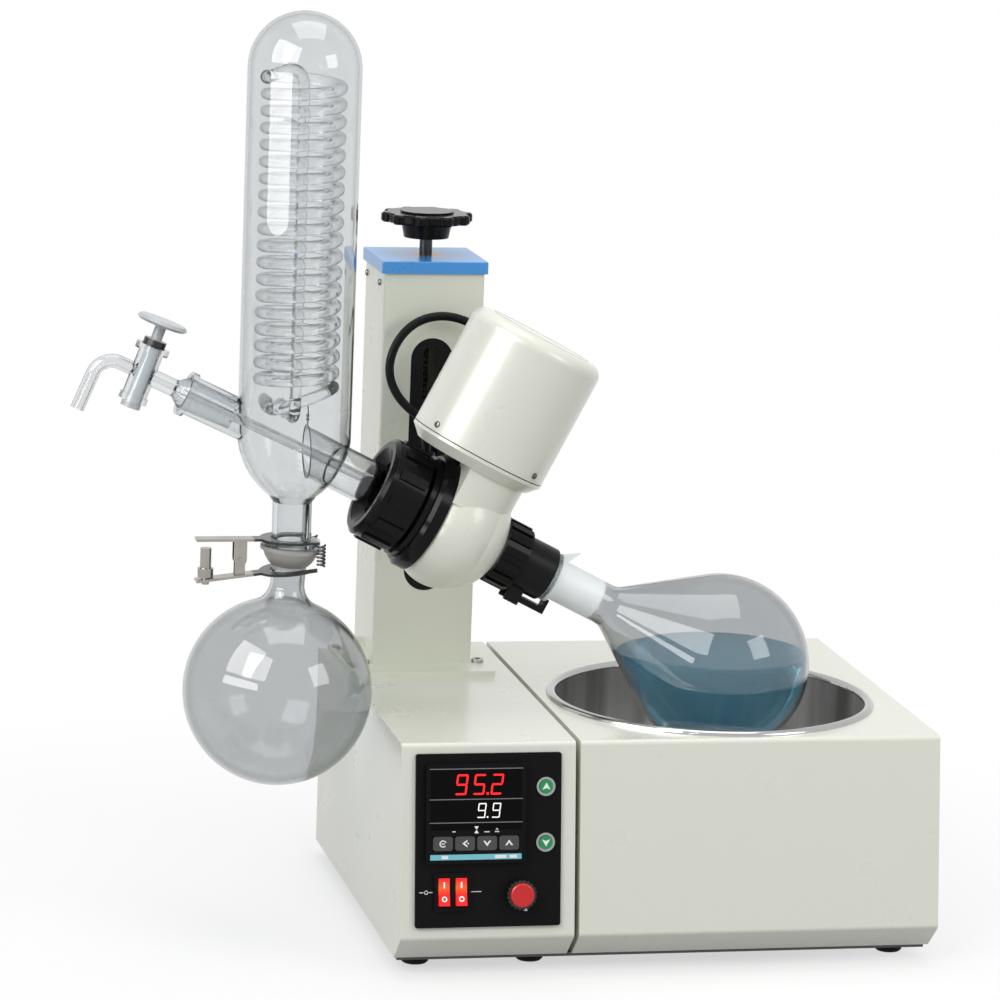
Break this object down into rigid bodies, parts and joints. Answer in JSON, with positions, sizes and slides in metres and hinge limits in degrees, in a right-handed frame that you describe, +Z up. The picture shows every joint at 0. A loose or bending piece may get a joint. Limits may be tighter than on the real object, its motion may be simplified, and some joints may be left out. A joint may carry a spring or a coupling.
{
  "type": "rotary evaporator",
  "caption": "Bench rotary evaporator: heated steel bath, tilted turning flask, coil condenser, receiver flask, stopcock feed and a handwheel lift column beside the controls.",
  "frame": {"origin": "on the bench under the middle of the overall box", "axes": "+X to the right seen from the control panel, +Y to the back, +Z up"},
  "size_m": [0.6795, 0.3882, 0.736],
  "materials": {
    "cream_paint": "smooth gloss",
    "base_paint": "satin",
    "foot_rubber": "matte",
    "bath_steel": "brushed",
    "heater_metal": "cast",
    "panel_black": "gloss",
    "case_black": "satin",
    "window_dark": "gloss",
    "key_grey": "satin",
    "rim_steel": "polished",
    "button_green": "gloss",
    "rocker_red": "gloss",
    "knob_red": "gloss",
    "pot_metal": "plain",
    "inlet_black": "satin",
    "cap_blue": "gloss",
    "seal_black": "matte",
    "steel": "ground",
    "bronze": "turned",
    "wheel_black": "satin",
    "arm_black": "satin",
    "nut_black": "satin",
    "seal_white": "waxy",
    "clear_glass": "clear",
    "stopcock_white": "waxy",
    "clamp_steel": "bright",
    "cable_black": "satin"
  },
  "bodies": {
    "base": {"control_housing": "cream_paint", "bath_housing": "cream_paint", "base_plate": "base_paint", "feet": "foot_rubber", "bath_pan": "bath_steel", "heater_ring": "heater_metal", "control_panel": "panel_black", "display_case": "case_black", "display_window": "window_dark", "button_sockets": "rim_steel", "rocker_bezel": "case_black", "speed_pot": "pot_metal", "power_inlet": "inlet_black", "column_base": "cream_paint", "column_tube": "cream_paint", "slot_seal": "seal_black", "column_cap": "cap_blue", "screw_bushes": "bronze", "guide_rods": "steel"},
    "head": {"carriage_block": "arm_black", "lift_nut": "bronze", "head_arm": "arm_black", "gearbox_housing": "cream_paint", "flange_ring": "nut_black", "spindle_bearings": "steel", "motor_stator": "steel", "motor_cover": "cream_paint", "motor_cap": "cream_paint", "shaft_seal": "seal_white", "union_nut": "nut_black", "condenser_jacket": "clear_glass", "cooling_coil": "clear_glass", "hose_nozzles": "clear_glass", "feed_tube": "clear_glass", "receiver_flask": "clear_glass", "clamp_upper_jaw": "clamp_steel", "motor_cable": "cable_black", "cable_glands": "nut_black"},
    "rotor": {"spindle": "steel", "crown_gear": "bronze", "vapour_duct": "clear_glass", "spindle_nut": "nut_black", "flask_clip": "nut_black", "evaporating_flask": "clear_glass"},
    "lift_screw": {"handwheel": "wheel_black", "lead_screw": "steel"},
    "motor_rotor": {"motor_rotor": "steel"},
    "clip_lever": {"clip_lever": "nut_black"},
    "stopcock": {"stopcock_plug": "stopcock_white"},
    "clamp_jaw": {"clamp_lower_jaw": "clamp_steel"},
    "thumbscrew": {"thumbscrew": "clamp_steel"},
    "up_button": {"up_button": "button_green"},
    "down_button": {"down_button": "button_green"},
    "heating_rocker": {"heating_rocker": "rocker_red"},
    "rotary_rocker": {"rotary_rocker": "rocker_red"},
    "speed_knob": {"speed_knob": "knob_red"},
    "display_key_1": {"display_key_1": "key_grey"},
    "display_key_2": {"display_key_2": "key_grey"},
    "display_key_3": {"display_key_3": "key_grey"},
    "display_key_4": {"display_key_4": "key_grey"}
  },
  "joints": [
    {"name": "head_lift", "type": "slide", "parent": "base", "child": "head", "axis": [0, 0, 1], "range_m": [-0.035, 0.085]},
    {"name": "handwheel_turn", "type": "hinge", "parent": "base", "child": "lift_screw", "pos_m": [-0.028, 0.126, 0.4], "axis": [0, 0, 1], "range_deg": [-6130, 2530]},
    {"name": "flask_spin", "type": "hinge", "parent": "head", "child": "rotor", "pos_m": [-0.038, -0.0427, 0.333], "axis": [0.891, 0, -0.454], "continuous": true},
    {"name": "motor_spin", "type": "hinge", "parent": "head", "child": "motor_rotor", "pos_m": [-0.02702, -0.0427, 0.36556], "axis": [0.454, 0, 0.891], "continuous": true},
    {"name": "clip_lever_swing", "type": "hinge", "parent": "rotor", "child": "clip_lever", "pos_m": [0.01612, -0.0427, 0.27512], "axis": [0, 1, 0], "range_deg": [0, 35]},
    {"name": "stopcock_turn", "type": "hinge", "parent": "head", "child": "stopcock", "pos_m": [-0.28284, -0.0427, 0.45254], "axis": [0.342, 0, 0.9397], "continuous": true},
    {"name": "clamp_jaw_swing", "type": "hinge", "parent": "head", "child": "clamp_jaw", "pos_m": [-0.203, -0.0427, 0.3055], "axis": [0, 1, 0], "range_deg": [0, 6]},
    {"name": "thumbscrew_turn", "type": "hinge", "parent": "clamp_jaw", "child": "thumbscrew", "pos_m": [-0.2298, -0.0427, 0.3], "axis": [0, 0, 1], "continuous": true},
    {"name": "up_button_press", "type": "slide", "parent": "base", "child": "up_button", "axis": [0, 0.9903, -0.1392], "range_m": [0, 0.0025], "stiffness_N_per_m": 400},
    {"name": "down_button_press", "type": "slide", "parent": "base", "child": "down_button", "axis": [0, 0.9903, -0.1392], "range_m": [0, 0.0025], "stiffness_N_per_m": 400},
    {"name": "display_key_1_press", "type": "slide", "parent": "base", "child": "display_key_1", "axis": [0, 0.9903, -0.1392], "range_m": [0, 0.0008], "stiffness_N_per_m": 800},
    {"name": "display_key_2_press", "type": "slide", "parent": "base", "child": "display_key_2", "axis": [0, 0.9903, -0.1392], "range_m": [0, 0.0008], "stiffness_N_per_m": 800},
    {"name": "display_key_3_press", "type": "slide", "parent": "base", "child": "display_key_3", "axis": [0, 0.9903, -0.1392], "range_m": [0, 0.0008], "stiffness_N_per_m": 800},
    {"name": "display_key_4_press", "type": "slide", "parent": "base", "child": "display_key_4", "axis": [0, 0.9903, -0.1392], "range_m": [0, 0.0008], "stiffness_N_per_m": 800},
    {"name": "heating_rocker_rock", "type": "hinge", "parent": "base", "child": "heating_rocker", "pos_m": [-0.0598, -0.18579, 0.07083], "axis": [1, 0, 0], "range_deg": [0, 16]},
    {"name": "rotary_rocker_rock", "type": "hinge", "parent": "base", "child": "rotary_rocker", "pos_m": [-0.0462, -0.18579, 0.07083], "axis": [1, 0, 0], "range_deg": [0, 16]},
    {"name": "speed_knob_turn", "type": "hinge", "parent": "base", "child": "speed_knob", "pos_m": [0.0004, -0.18561, 0.06848], "axis": [0, -0.9903, 0.1392], "range_deg": [-150, 150]}
  ],
  "couplings": [
    {"joint": "handwheel_turn", "follows": "head_lift", "rad_per_m": -1256.6},
    {"joint": "motor_spin", "follows": "flask_spin", "ratio": -4}
  ]
}
